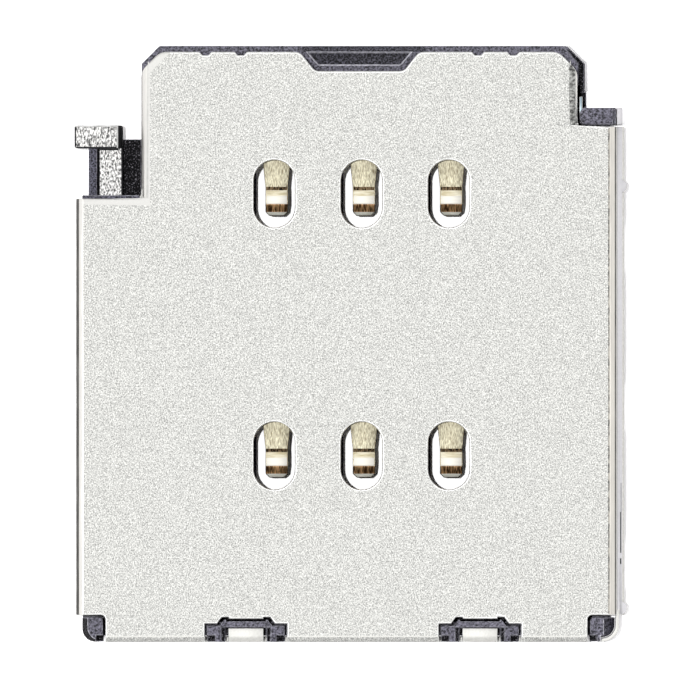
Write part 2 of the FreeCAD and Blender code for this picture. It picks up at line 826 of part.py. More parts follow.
# Openings under the contacts, grooves for their tails
openings = []
grooves = []
groove_half = size("contact_root_width") / 2 + press
for column, row in contact_places:
    opening_half = size("contact_opening_half")
    opening_front = row + size("contact_opening_front")
    openings.append(box_loop(
        column - opening_half, column + opening_half,
        row - size("contact_opening_rear"), opening_front))
    grooves.append(box_loop(
        column - groove_half, column + groove_half,
        opening_front - fit, opening_front + size("contact_tail_length") + press))
cut_loops(base, "openings", ZERO, floor_top, openings)
cut_loops(base, "grooves", ZERO, size("contact_sheet") + press, grooves)

# Recess in the mouth, clear of the rim under the cover notch
rim = size("recess_rim")
recess_rear = notch_floor + rim
cut_loops(base, "recess", floor_top - size("recess_depth"), floor_top, [[
    (mouth_middle - size("notch_bottom_half") + rim / 2, recess_rear, rim / 2),
    (mouth_middle + size("notch_bottom_half") - rim / 2, recess_rear, rim / 2),
    (mouth_middle + size("notch_top_half") - size("recess_inset"), front_edge),
    (mouth_middle - size("notch_top_half") + size("recess_inset"), front_edge),
]])

# Room for the driven end of the lever, pocket of the tray spring
cut_loops(base, "lever_room", floor_top, wall_top, [
    box_loop(post_left_end, pivot_x - size("lever_eye_radius") * 2, base_rear, rear_wall_front),
])
tray_y = size("tray_spring_middle_y")
tray_half = size("tray_spring_length") / 2
tray_pocket_right = slot_right + size("tray_spring_pocket")
cut_loops(base, "tray_spring_pocket", floor_top, wall_top, [
    box_loop(slot_right, tray_pocket_right, tray_y - tray_half - fit, tray_y + tray_half + fit),
])

pin_sketch = new_sketch(base, "pin_hole", "XY_Plane", floor_top)
draw_circle(pin_sketch, pivot_x, pivot_y, size("pin_radius") + press)
add_pocket(base, pin_sketch, "pin_hole", floor_top)

# Slit through the lug for the switch spring
spring_sheet = size("spring_sheet")
spring_low = size("spring_low")
spring_high = spring_low + size("spring_tall")
spring_y = (lug_rear + lug_front) / 2
slit_sketch = new_sketch(base, "slit", "YZ_Plane", lug_right)
draw_loop(slit_sketch, box_loop(
    spring_y - spring_sheet / 2 - press, spring_y + spring_sheet / 2 + press,
    spring_low - press, spring_high + press))
add_pocket(base, slit_sketch, "slit", lug_right - lug_left)
arm_left = mouth_right + fit * 2
arm_room = new_sketch(base, "arm_room", "YZ_Plane", arm_left + spring_sheet + press)
draw_loop(arm_room, box_loop(
    spring_y - spring_sheet / 2 - press, lug_front + fit,
    spring_low - press, spring_high + press))
add_pocket(base, arm_room, "arm_room", spring_sheet + fit * 2)


# Contacts, each drawn about its own crest


def make_contact(label, column, row):
    """One spring contact: tail in the floor, rising leg, level arm, crest, falling face and tip."""
    body = new_body(label)
    strip = size("contact_sheet")
    crest = plate_under - size("contact_crest_gap")
    root = size("contact_opening_front")
    tail_end = root + size("contact_tail_length")
    knee = size("contact_knee_reach")
    brow = knee - size("contact_knee_step")
    brow_z = crest - size("contact_brow_drop")
    knee_z = brow_z - size("contact_knee_step")
    elbow = size("contact_elbow_reach")
    elbow_z = knee_z - size("contact_arm_rise")
    crest_half = size("contact_crest_half")
    fall_y = -crest_half - size("contact_fall_reach")
    fall_z = crest - size("contact_fall")
    tip_y = fall_y - size("contact_tip_reach")
    root_half = size("contact_root_width") / 2
    tip_half = size("contact_tip_width") / 2
    wide_bend = size("contact_wide_bend")
    tight_bend = size("contact_tight_bend")
    knee_bend = size("contact_knee_bend")
    profile = new_sketch(body, "profile", "YZ_Plane", -root_half)
    draw_loop(profile, [
        (tail_end, ZERO), (tail_end, strip), (root - strip, strip, wide_bend),
        (elbow, elbow_z, wide_bend), (knee, knee_z, knee_bend), (brow, brow_z, knee_bend),
        (crest_half, crest, wide_bend), (-crest_half, crest, tight_bend),
        (fall_y, fall_z, tight_bend), (tip_y, fall_z - size("contact_tip_dip")), (tip_y, fall_z - strip),
        (fall_y + strip / 2, fall_z - strip), (-crest_half + strip / 2, crest - strip),
        (crest_half, crest - strip, wide_bend), (brow, brow_z - strip, knee_bend),
        (knee, knee_z - strip, knee_bend), (elbow, elbow_z - strip, wide_bend),
        (root - strip / 2, ZERO, wide_bend),
    ])
    add_pad(body, profile, "strip", root_half * 2)
    flare = size("contact_flare_reach")
    corner = size("contact_tip_corner")
    sides = []
    for sign in (-1, 1):
        edge = root_half * sign
        outer = edge + strip * sign
        inner = tip_half * sign
        sides.append([
            (edge, flare), (inner, knee), (inner, tip_y + corner),
            (inner - corner * sign, tip_y), (inner - corner * sign, tip_y - corner),
            (outer, tip_y - corner), (outer, flare),
        ])
    cut_loops(body, "sides", ZERO, crest, sides)
    body.setExpression(".Placement.Base.x", column.text)
    body.setExpression(".Placement.Base.y", row.text)
    doc.recompute()
    return body


contact_names = [
    f"contact_{row}_{column}" for row in ("front", "rear") for column in ("left", "middle", "right")
]
contacts = [make_contact(name, *place) for name, place in zip(contact_names, contact_places)]


# Push rod with its head

rod = new_body("eject_rod")
head_front = ledge_front + size("rod_head_overhang")
head_rear = head_front - size("rod_head_depth")
head_high = plate_under - size("rod_head_drop")
head_left = rod_right - size("rod_head_width")
raise_loops(rod, "stem", rod_low, rod_high, [box_loop(rod_left, rod_right, rod_rear, head_front)])
neck_right = rod_right - size("rod_head_slope")
raise_loops(rod, "neck", rod_high, head_high, [box_loop(rod_left, neck_right, head_rear, head_front)])
head_sketch = new_sketch(rod, "head", "XZ_Plane", -head_front)
draw_loop(head_sketch, [
    (head_left, rod_high + fit),
    (head_left, head_high),
    (neck_right, head_high),
    (rod_right, rod_high + fit),
])
add_pad(rod, head_sketch, "head", size("rod_head_depth"))


# Lever across the rear

lever = new_body("eject_lever")
arm_in = new_sketch(lever, "arm_in", "XY_Plane", lever_low)
draw_capsule(arm_in, (lever_in_x, lever_in_y), (pivot_x, pivot_y), size("lever_in_radius"))
add_pad(lever, arm_in, "arm_in", size("lever_thick"))
arm_out = new_sketch(lever, "arm_out", "XY_Plane", lever_low)
lever_out_x = pivot_x + size("lever_out_reach")
lever_out_y = pivot_y - size("lever_out_fall")
draw_capsule(arm_out, (pivot_x, pivot_y), (lever_out_x, lever_out_y), size("lever_out_radius"))
add_pad(lever, arm_out, "arm_out", size("lever_thick"))
eye = new_sketch(lever, "eye", "XY_Plane", lever_low)
draw_circle(eye, pivot_x, pivot_y, size("lever_eye_radius"))
add_pad(lever, eye, "eye", size("lever_thick"))
eye_hole = new_sketch(lever, "eye_hole", "XY_Plane", lever_high)
draw_circle(eye_hole, pivot_x, pivot_y, size("pin_radius") + fit)
add_pocket(lever, eye_hole, "eye_hole", size("lever_thick"))


# Pivot pin

pin_shank = doc.addObject("Part::Cylinder", "pin_shank")
pin_head = doc.addObject("Part::Cylinder", "pin_head")
pin_head_low = lever_high + fit
for item in (pin_shank, pin_head):
    item.setExpression(".Placement.Base.x", pivot_x.text)
    item.setExpression(".Placement.Base.y", pivot_y.text)
pin_shank.setExpression("Radius", size("pin_radius").text)
pin_shank.setExpression("Height", pin_head_low.text)
pin_head.setExpression("Radius", size("pin_head_radius").text)
pin_head.setExpression("Height", size("pin_head_thick").text)
pin_head.setExpression(".Placement.Base.z", pin_head_low.text)
pin = doc.addObject("Part::Fuse", "lever_pivot_pin")
pin.Label = "lever_pivot_pin"
pin.Base = pin_shank
pin.Tool = pin_head
doc.recompute()


# Switch spring: solder post, strip through the lug, arm beside the mouth

detect = new_body("detect_spring")
post_left = lug_right + fit
raise_loops(detect, "post", ZERO, lug_top - fit, [
    box_loop(post_left, post_left + size("post_thick"), lug_rear, lug_front),
])
strip_low_y = spring_y - spring_sheet / 2
strip_high_y = spring_y + spring_sheet / 2
raise_loops(detect, "strip", spring_low, spring_high, [[
    (post_left, strip_low_y), (post_left, strip_high_y),
    (arm_left + spring_sheet, strip_high_y),
    (arm_left + spring_sheet, strip_high_y + size("spring_arm_length")),
    (arm_left, strip_high_y + size("spring_arm_length")),
    (arm_left, strip_low_y, spring_sheet),
]])


# Fixed terminal of the switch, bent round the corner of the mouth

terminal = new_body("detect_terminal")
half_turn = math.tan(math.pi / 8)
strip = size("terminal_sheet")
strip_inner = switch_x + press
strip_outer = strip_inner + strip
turn_inner = lip_front - lip_cut + press * half_turn
turn_outer = turn_inner + strip * half_turn
terminal_rear = gap_front + press
raise_loops(terminal, "strip", ZERO, size("terminal_height"), [[
    (strip_inner, terminal_rear),
    (strip_outer, terminal_rear),
    (strip_outer, turn_outer),
    (strip_outer + turn_outer - lip_front, lip_front),
    (strip_inner + turn_inner - lip_front, lip_front),
    (strip_inner, turn_inner),
]])


# Bowed spring in the right rail

tray_spring = new_body("tray_spring")
bow_back = tray_pocket_right - fit - spring_sheet
bow_crest = slot_right - size("tray_spring_bulge")
foot = size("tray_spring_foot")
crest_half_length = size("tray_spring_crest") / 2
raise_loops(tray_spring, "bow", spring_low, spring_high, [[
    (bow_back, tray_y - tray_half),
    (bow_back + spring_sheet, tray_y - tray_half),
    (bow_back + spring_sheet, tray_y - tray_half + foot),
    (bow_crest + spring_sheet, tray_y - crest_half_length),
    (bow_crest + spring_sheet, tray_y + crest_half_length),
    (bow_back + spring_sheet, tray_y + tray_half - foot),
    (bow_back + spring_sheet, tray_y + tray_half),
    (bow_back, tray_y + tray_half),
    (bow_back, tray_y + tray_half - foot),
    (bow_crest, tray_y + crest_half_length),
    (bow_crest, tray_y - crest_half_length),
    (bow_back, tray_y - tray_half + foot),
]])


# Check every object, then write one file for each piece

doc.recompute()
for item in doc.Objects:
    if "Invalid" in item.State or "Error" in item.State:
        raise RuntimeError(f"{item.Name} failed: {item.State}")

pieces = [shell, base, *contacts, rod, lever, pin, detect, terminal, tray_spring]
os.makedirs("parts", exist_ok=True)
for piece in pieces:
    shape = piece.Shape
    if shape.isNull() or not shape.isValid() or len(shape.Solids) != 1:
        raise RuntimeError(f"{piece.Label} is not one valid solid")
    shape.exportStep(f"parts/{piece.Label}.step")
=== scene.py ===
"""Sim card reader: the finish of every piece, a plain studio and the camera."""

import json
import math
from contextlib import contextmanager

import bmesh
import bpy
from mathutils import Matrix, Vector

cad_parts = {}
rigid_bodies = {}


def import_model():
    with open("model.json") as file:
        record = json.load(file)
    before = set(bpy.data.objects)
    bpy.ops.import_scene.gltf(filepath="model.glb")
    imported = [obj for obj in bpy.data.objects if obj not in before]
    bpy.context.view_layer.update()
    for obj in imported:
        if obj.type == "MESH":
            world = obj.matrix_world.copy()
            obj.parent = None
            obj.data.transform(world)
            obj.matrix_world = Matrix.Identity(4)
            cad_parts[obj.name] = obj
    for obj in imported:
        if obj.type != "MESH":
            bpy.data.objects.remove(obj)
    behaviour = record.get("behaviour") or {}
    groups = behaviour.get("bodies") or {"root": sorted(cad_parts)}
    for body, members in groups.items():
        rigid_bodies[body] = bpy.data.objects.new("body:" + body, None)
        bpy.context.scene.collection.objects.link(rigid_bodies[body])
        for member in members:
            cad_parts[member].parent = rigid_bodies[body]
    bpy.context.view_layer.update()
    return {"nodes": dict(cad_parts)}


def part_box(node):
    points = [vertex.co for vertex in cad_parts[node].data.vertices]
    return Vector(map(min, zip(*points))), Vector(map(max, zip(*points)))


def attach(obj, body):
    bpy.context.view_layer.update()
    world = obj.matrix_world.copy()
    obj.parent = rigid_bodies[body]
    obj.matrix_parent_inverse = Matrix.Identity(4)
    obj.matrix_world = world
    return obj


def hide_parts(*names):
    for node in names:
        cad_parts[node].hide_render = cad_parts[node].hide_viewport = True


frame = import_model()

MM = 0.001

# Ends of the pieces that the places below are counted from, in millimetres
cover_low, cover_high = (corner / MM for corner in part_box("cover_shell"))
base_low, base_high = (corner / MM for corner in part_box("base_housing"))
crest_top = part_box("contact_front_left")[1].z / MM
solder_post_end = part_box("detect_spring")[1].x / MM

# Photograph: millimetres across the square frame, and the point under its middle
FRAME_WIDTH = 20.367
FRAME_MIDDLE = (-0.407, -0.534)
LENS = 1200.0
SENSOR = 36.0
NEAREST_SEEN = 0.01

# Lamp that throws the shadows: lean to the left and to the mouth, in degrees
KEY_LEAN = 5.3
KEY_TILT = 1.5
KEY_STRENGTH = 1.6
KEY_SOFTNESS = 0.7

# Brightness of the room by height, from the horizon to the zenith
ROOM_LEVELS = ((0.25, 0.75), (0.35, 1.0), (0.70, 1.0), (0.86, 0.06))
WHITE = (1.0, 1.0, 1.0)

# Table: its width in metres, its paint as it lights the pieces and as the camera sees it,
# and the share of the camera's paint in what the metal mirrors
TABLE_WIDTH = 2.0
TABLE_PAINT = (0.45, 0.45, 0.45)
TABLE_SEEN = (1.95, 1.94, 1.95)
MIRRORED_SHARE = 0.25

# Grain: its fineness in metal and in plastic, the stretch of it that the gloss follows,
# and the scale of a grain that is as long as it is wide
METAL_DETAIL = 2.0
PLASTIC_DETAIL = 3.0
GLOSS_RANGE = (0.3, 0.7)
EVEN = (1.0, 1.0, 1.0)

# Edges sharper than the first are rounded, flatter ones are shaded smooth;
# facets within the second are one flat, and corners within the weld are one corner
SHARP_ANGLE = math.radians(40)
FLAT_ANGLE = math.radians(0.5)
WELD = 0.0005 * MM

# Rounding of each piece's edges, in millimetres, its facets, and the place of the edge finish
# among the piece's finishes
COVER_EDGE = 0.015
BASE_EDGE = 0.02
CONTACT_EDGE = 0.025
ROD_EDGE = 0.05
LEVER_EDGE = 0.02
PIN_EDGE = 0.03
SPRING_EDGE = 0.015
TERMINAL_EDGE = 0.01
EDGE_FACETS = 2
EDGE_PLACE = 1

# Cover's rolled rim and faceted bends: widths, numbers of facets, the levels that they lie above
# and the least angle between the facets, in millimetres and radians
RIM_ROLL = 0.04
RIM_FACETS = 3
BEND_FACET = 0.043
BEND_FACETS = 2
BEND_LEVEL = cover_high.z - 0.28
PLATE_LEVEL = cover_high.z - 0.01
FACET_ANGLE = math.radians(20)

# Slit and dot in the right step: low and high corners and depth, in millimetres
SLITS = (
    ((cover_high.x - 0.210, cover_low.y + 2.59), (cover_high.x - 0.178, cover_low.y + 3.78)),
    ((cover_high.x - 0.192, cover_low.y + 3.78), (cover_high.x - 0.178, cover_low.y + 4.63)),
    ((cover_high.x - 0.215, cover_low.y + 2.26), (cover_high.x - 0.178, cover_low.y + 2.43)),
)
SLIT_DEPTH = 0.06

# A dividing line keeps to corners that lie this near, in millimetres
SCORE_SNAP = 0.1
SLIT_SNAP = 0.0005
# Directions in which the finish changes at a dividing line
TO_RIGHT = (1.0, 0.0)
TO_MOUTH = (0.0, 1.0)
TO_LEFT_CORNER = (-1.0, 1.0)

# Upward share of a face's normal: a flat above the first, then slopes, a side below the last
BEND_LIFT = 0.985
BROW_LIFT = 0.93
STEEP_LIFT = 0.77
HALF_LIFT = 0.6
SKIRT_LIFT = 0.35
CUT_LIFT = 0.05

# Cover: the step and bend on the right, the rear bend and tabs, the shoulders, the band
# across the left corner, and the level above which its sides are cut edges, painted dark as shade
STEP_X = cover_high.x - 0.33
RIGHT_BEND_X = cover_high.x - 0.62
REAR_BEND_Y = cover_low.y + 0.23
TAB_X = 3.405
TAB_HALF = 0.55
TAB_Y = cover_low.y + 0.41
LEFT_SHOULDER = (cover_low.x + 2.18, cover_high.y - 4.44)
RIGHT_SHOULDER_Y = cover_high.y - 2.24
CORNER_BAND = cover_high.y - cover_low.x - 2.76
SKIRT_LEVEL = cover_high.z - 0.20

# Base: mouth, lip and recess, rear corner posts, ledge by the rod, and levels of its floors, below
# which the plastic is painted in shade
MOUTH_Y = base_high.y - 1.03
LIP_Y = base_high.y - 0.14
RECESS_X = 5.0
RECESS_FRONT_Y = base_high.y - 0.11
NOTCH_X = 1.8
NOTCH_EDGE_X = 2.2
POST_PLACE = (base_high.x - 0.83, base_low.y + 1.03)
LEDGE_X = base_low.x + 1.60
HOLLOW_LEVEL = base_high.z - 0.19
CHANNEL_LEVEL = base_high.z - 0.56
SHELF_LEVEL = 0.2

# Contacts, from crest to fall, and the end of the lug that holds the switch spring
CREST_LEVEL = crest_top - 0.01
BROW_LEVEL = crest_top - 0.06
FALL_LEVEL = crest_top - 0.26
LUG_END = solder_post_end - 0.42


# Finishes

def new_finish(name):
    """An empty material with its shader, ready for wiring."""
    finish = bpy.data.materials.new(name)
    finish.use_nodes = True
    shader = finish.node_tree.nodes["Principled BSDF"]
    return finish, finish.node_tree, shader


def grain(tree, per_mm, detail, stretch=EVEN):
    """Noise fixed to the piece, with so many grains to the millimetre."""
    place = tree.nodes.new("ShaderNodeTexCoord")
    scale = tree.nodes.new("ShaderNodeMapping")
    scale.inputs["Scale"].default_value = [per_mm / MM * share for share in stretch]
    speck = tree.nodes.new("ShaderNodeTexNoise")
    speck.inputs["Scale"].default_value = 1.0
    speck.inputs["Detail"].default_value = detail
    tree.links.new(place.outputs["Object"], scale.inputs["Vector"])
    tree.links.new(scale.outputs["Vector"], speck.inputs["Vector"])
    return speck.outputs["Fac"]


def tint(tree, shader, factor, dark, light, low, high):
    """Base colour that runs from dark to light over a stretch of the noise."""
    ramp = tree.nodes.new("ShaderNodeValToRGB")
    ramp.color_ramp.elements[0].position = low
    ramp.color_ramp.elements[0].color = (*dark, 1.0)
    ramp.color_ramp.elements[1].position = high
    ramp.color_ramp.elements[1].color = (*light, 1.0)
    tree.links.new(factor, ramp.inputs["Fac"])
    tree.links.new(ramp.outputs["Color"], shader.inputs["Base Color"])


def polish(tree, shader, factor, at_low, at_high):
    """Roughness that follows the noise."""
    spread = tree.nodes.new("ShaderNodeMapRange")
    spread.inputs["From Min"].default_value = GLOSS_RANGE[0]
    spread.inputs["From Max"].default_value = GLOSS_RANGE[1]
    spread.inputs["To Min"].default_value = at_low
    spread.inputs["To Max"].default_value = at_high
    tree.links.new(factor, spread.inputs["Value"])
    tree.links.new(spread.outputs["Result"], shader.inputs["Roughness"])


def relief(tree, shader, factor, depth_mm):
    """Fine bumps from the noise."""
    bump = tree.nodes.new("ShaderNodeBump")
    bump.inputs["Strength"].default_value = 1.0
    bump.inputs["Distance"].default_value = depth_mm * MM
    tree.links.new(factor, bump.inputs["Height"])
    tree.links.new(bump.outputs["Normal"], shader.inputs["Normal"])


def metal_finish(
        name, dark, light, smooth, rough, per_mm, depth_mm, stretch=EVEN, spread=0.2):
    """Bare metal with grain in its colour, gloss and surface."""
    finish, tree, shader = new_finish(name)
    shader.inputs["Metallic"].default_value = 1.0
    speck = grain(tree, per_mm, METAL_DETAIL, stretch)
    tint(tree, shader, speck, dark, light, 0.5 - spread, 0.5 + spread)
    polish(tree, shader, speck, smooth, rough)
    relief(tree, shader, speck, depth_mm)
    return finish


def plastic_finish(name, dark, light, smooth, rough, per_mm, depth_mm, shine, low, high):
    """Moulded plastic with a mottled skin, dark and rough or light and smooth by the noise."""
    finish, tree, shader = new_finish(name)
    shader.inputs["Specular IOR Level"].default_value = shine
    speck = grain(tree, per_mm, PLASTIC_DETAIL)
    tint(tree, shader, speck, dark, light, low, high)
    polish(tree, shader, speck, rough, smooth)
    relief(tree, shader, speck, depth_mm)
    return finish


blasted_steel = metal_finish(
    "blasted_steel", dark=(0.266, 0.266, 0.257), light=(0.97, 0.97, 0.938),
    smooth=0.58, rough=0.67, per_mm=33.0, depth_mm=0.010, stretch=(1.0, 0.75, 1.0))
sheared_steel = metal_finish(
    "sheared_steel", dark=(0.66, 0.66, 0.65), light=(0.86, 0.86, 0.845),
    smooth=0.34, rough=0.48, per_mm=12.0, depth_mm=0.002)
# Bright copy of the steel for bend facets: painted highlight
bend_highlight_steel = metal_finish(
    "bend_highlight_steel", dark=(0.93, 0.915, 0.88), light=(1.0, 0.985, 0.945),
    smooth=0.44, rough=0.54, per_mm=9.0, depth_mm=0.002, stretch=(1.0, 0.1, 1.0))
# Cream copy of the steel for the right bends: painted reflection of the lit table
cream_reflection_steel = metal_finish(
    "cream_reflection_steel", dark=(0.82, 0.79, 0.735), light=(0.90, 0.87, 0.81),
    smooth=0.44, rough=0.54, per_mm=9.0, depth_mm=0.002, stretch=(1.0, 0.1, 1.0))
# Dark copy of the steel for the steep facets of bends: painted shade
bend_shade_steel = metal_finish(
    "bend_shade_steel", dark=(0.06, 0.056, 0.052), light=(0.24, 0.235, 0.225),
    smooth=0.40, rough=0.55, per_mm=9.0, depth_mm=0.004, stretch=(1.0, 0.15, 0.6))
tinned_steel = metal_finish(
    "tinned_steel", dark=(0.61, 0.603, 0.62), light=(0.695, 0.689, 0.707),
    smooth=0.64, rough=0.70, per_mm=10.0, depth_mm=0.003)
bared_steel = metal_finish(
    "bared_steel", dark=(0.71, 0.705, 0.675), light=(0.83, 0.825, 0.795),
    smooth=0.60, rough=0.68, per_mm=14.0, depth_mm=0.003)
planished_steel = metal_finish(
    "planished_steel", dark=(0.62, 0.615, 0.595), light=(0.73, 0.725, 0.705),
    smooth=0.60, rough=0.68, per_mm=14.0, depth_mm=0.003)
# Darker streaked steel for the right shoulder's shallow facets: a ripple in relief, with painted
# shade and glints in its colour
rippled_shade_steel = metal_finish(
    "rippled_shade_steel", dark=(0.10, 0.10, 0.095), light=(0.66, 0.665, 0.64),
    smooth=0.58, rough=0.68, per_mm=14.0, depth_mm=0.006, stretch=(0.5, 1.0, 1.0), spread=0.15)
# Dark pitted steel for the strip by the right bend: painted dark reflection, with pits in its
# grain
pitted_shade_steel = metal_finish(
    "pitted_shade_steel", dark=(0.01, 0.008, 0.006), light=(0.42, 0.39, 0.34),
    smooth=0.58, rough=0.68, per_mm=11.0, depth_mm=0.006, stretch=(1.0, 0.7, 1.0), spread=0.10)
moulded_plastic = plastic_finish(
    "moulded_plastic", dark=(0.004, 0.004, 0.008), light=(0.24, 0.23, 0.30),
    smooth=0.46, rough=0.60, per_mm=18.0, depth_mm=0.020, shine=0.4, low=0.36, high=0.66)
# Rounded edges of the plastic: lighter as wear and as painted highlight
rubbed_highlit_plastic = plastic_finish(
    "rubbed_highlit_plastic", dark=(0.06, 0.058, 0.075), light=(0.36, 0.355, 0.41),
    smooth=0.34, rough=0.50, per_mm=12.0, depth_mm=0.004, shine=0.5, low=0.38, high=0.62)
# Near black plastic for hollows, low floors and slopes: painted shade
hollow_shade_plastic = plastic_finish(
    "hollow_shade_plastic", dark=(0.002, 0.002, 0.003), light=(0.24, 0.23, 0.26),
    smooth=0.60, rough=0.75, per_mm=26.0, depth_mm=0.008, shine=0.10, low=0.56, high=0.70)
shaded_plastic = plastic_finish(
    "shaded_plastic", dark=(0.003, 0.003, 0.006), light=(0.19, 0.187, 0.25),
    smooth=0.50, rough=0.64, per_mm=20.0, depth_mm=0.010, shine=0.25, low=0.38, high=0.66)
# Dark plastic for the recess, the lip notch and the right post's slope: painted shade
recess_shade_plastic = plastic_finish(
    "recess_shade_plastic", dark=(0.002, 0.002, 0.004), light=(0.15, 0.145, 0.19),
    smooth=0.50, rough=0.64, per_mm=20.0, depth_mm=0.010, shine=0.25, low=0.42, high=0.70)
# Light plastic for the edges round the recess and on the posts: painted highlight
edge_highlight_plastic = plastic_finish(
    "edge_highlight_plastic", dark=(0.35, 0.345, 0.40), light=(0.75, 0.74, 0.82),
    smooth=0.34, rough=0.50, per_mm=12.0, depth_mm=0.002, shine=0.5, low=0.38, high=0.62)
gold_plate = metal_finish(
    "gold_plate", dark=(0.29, 0.245, 0.155), light=(1.0, 0.96, 0.76),
    smooth=0.57, rough=0.66, per_mm=36.0, depth_mm=0.004, stretch=(1.0, 0.2, 1.0))
gold_edge = metal_finish(
    "gold_edge", dark=(0.86, 0.72, 0.44), light=(1.0, 0.92, 0.70),
    smooth=0.26, rough=0.38, per_mm=16.0, depth_mm=0.001)
# Pale gold on the crest: rubbed, and lighter as painted highlight
rubbed_highlit_gold = metal_finish(
    "rubbed_highlit_gold", dark=(0.70, 0.68, 0.62), light=(0.80, 0.78, 0.72),
    smooth=0.58, rough=0.64, per_mm=10.0, depth_mm=0.001, stretch=(0.15, 1.0, 1.0))
shaded_gold = metal_finish(
    "shaded_gold", dark=(0.16, 0.07, 0.025), light=(1.0, 0.68, 0.37),
    smooth=0.62, rough=0.72, per_mm=26.0, depth_mm=0.003, stretch=(1.0, 0.1, 0.1), spread=0.12)
# Dark gold on the knee: painted shade
knee_shade_gold = metal_finish(
    "knee_shade_gold", dark=(0.015, 0.009, 0.005), light=(0.42, 0.30, 0.18),
    smooth=0.46, rough=0.60, per_mm=22.0, depth_mm=0.003, stretch=(1.0, 0.3, 0.3), spread=0.12)
# Near white gold on the tip: painted highlight
tip_highlight_gold = metal_finish(
    "tip_highlight_gold", dark=(0.90, 0.90, 0.80), light=(1.0, 1.0, 0.93),
    smooth=0.56, rough=0.62, per_mm=14.0, depth_mm=0.001, stretch=(0.2, 1.0, 1.0))
worn_gold = metal_finish(
    "worn_gold", dark=(0.52, 0.45, 0.28), light=(0.86, 0.82, 0.68),
    smooth=0.58, rough=0.66, per_mm=14.0, depth_mm=0.002, stretch=(0.2, 1.0, 1.0))
tumbled_steel = metal_finish(
    "tumbled_steel", dark=(0.07, 0.07, 0.07), light=(0.93, 0.92, 0.905),
    smooth=0.53, rough=0.63, per_mm=24.0, depth_mm=0.012, stretch=(1.0, 0.5, 1.0), spread=0.12)
rubbed_steel = metal_finish(
    "rubbed_steel", dark=(0.60, 0.60, 0.59), light=(0.88, 0.88, 0.86),
    smooth=0.34, rough=0.46, per_mm=10.0, depth_mm=0.004)
# Near black steel for the high cut sides, the slits and the rod's slopes: painted shade
shadowed_steel = metal_finish(
    "shadowed_steel", dark=(0.012, 0.012, 0.014), light=(0.05, 0.05, 0.055),
    smooth=0.50, rough=0.64, per_mm=12.0, depth_mm=0.004)
rolled_steel = metal_finish(
    "rolled_steel", dark=(0.44, 0.44, 0.43), light=(0.66, 0.66, 0.65),
    smooth=0.40, rough=0.55, per_mm=12.0, depth_mm=0.004, stretch=(0.15, 1.0, 1.0))
blued_steel = metal_finish(
    "blued_steel", dark=(0.16, 0.22, 0.26), light=(0.40, 0.48, 0.52),
    smooth=0.36, rough=0.50, per_mm=12.0, depth_mm=0.003, stretch=(1.0, 0.15, 1.0))


# Pieces

def pick_only(piece):
    """Leaves this piece alone selected and active."""
    bpy.ops.object.select_all(action="DESELECT")
    piece.select_set(True)
    bpy.context.view_layer.objects.active = piece


@contextmanager
def shaping(piece, kind, chosen):
    """Opens a piece with only the chosen corners, edges or faces picked, and closes it again."""
    pick_only(piece)
    bpy.ops.object.mode_set(mode="EDIT")
    bpy.ops.mesh.select_mode(type=kind)
    bpy.ops.mesh.select_all(action="DESELECT")
    mesh = bmesh.from_edit_mesh(piece.data)
    for part in {"VERT": mesh.verts, "EDGE": mesh.edges, "FACE": mesh.faces}[kind]:
        part.select = chosen(part)
    mesh.select_flush_mode()
    bmesh.update_edit_mesh(piece.data)
    yield
    bpy.ops.object.mode_set(mode="OBJECT")


def skin_of(node, name):
    """A copy of a CAD node's mesh, welded, with its flat facets joined."""
    piece = bpy.data.objects.new(name, frame["nodes"][node].data.copy())
    bpy.context.scene.collection.objects.link(piece)
    pick_only(piece)
    bpy.ops.mesh.customdata_custom_splitnormals_clear()
    with shaping(piece, "VERT", lambda corner: True):
        bpy.ops.mesh.remove_doubles(threshold=WELD)
        bpy.ops.mesh.dissolve_limited(angle_limit=FLAT_ANGLE)
    return piece


def dress(node, name, body, slot, *finishes):
    """A finished piece in the place of a CAD node: finishes of its faces, its edges and more."""
    piece = skin_of(node, name)
    piece.data.materials.clear()
    for finish in finishes:
        piece.data.materials.append(finish)
    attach(piece, body)
    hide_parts(node)
    return piece


def round_edges(piece, width_mm):
    """Rounds the sharp edges, in the piece's second finish, and keeps its flats flat."""
    pick_only(piece)
    bevel = piece.modifiers.new("round_edges", "BEVEL")
    bevel.width = width_mm * MM
    bevel.segments = EDGE_FACETS
    bevel.limit_method = "ANGLE"
    bevel.angle_limit = SHARP_ANGLE
    bevel.use_clamp_overlap = False
    bevel.material = EDGE_PLACE
    bpy.ops.object.modifier_apply(modifier=bevel.name)
    bpy.ops.object.shade_smooth_by_angle(angle=SHARP_ANGLE)
    flats = piece.modifiers.new("flat_faces", "WEIGHTED_NORMAL")
    flats.keep_sharp = True
    bpy.ops.object.modifier_apply(modifier=flats.name)


def roll_rim(piece, width_mm):
    """Rolls the cut edges of a pressed plate over, on its upper side."""
    def upper_cut(edge):
        lifts = sorted(face.normal.z for face in edge.link_faces)
        high = all(corner.co.z > PLATE_LEVEL * MM for corner in edge.verts)
        return high and abs(lifts[0]) < CUT_LIFT and lifts[-1] > BEND_LIFT

    with shaping(piece, "EDGE", upper_cut):
        bpy.ops.mesh.bevel(
            offset=width_mm * MM, segments=RIM_FACETS, material=EDGE_PLACE, clamp_overlap=False)


def smooth_bends(piece, width_mm):
    """Adds facets to the upper bends of a sheet, which lie between slanted faces."""
    def upper_bend(edge):
        outer = all(CUT_LIFT < face.normal.z < BEND_LIFT for face in edge.link_faces)
        high = all(corner.co.z > BEND_LEVEL * MM for corner in edge.verts)
        return outer and high and FACET_ANGLE < edge.calc_face_angle(0.0) < SHARP_ANGLE

    with shaping(piece, "EDGE", upper_bend):
        bpy.ops.mesh.bevel(offset=width_mm * MM, segments=BEND_FACETS, clamp_overlap=False)


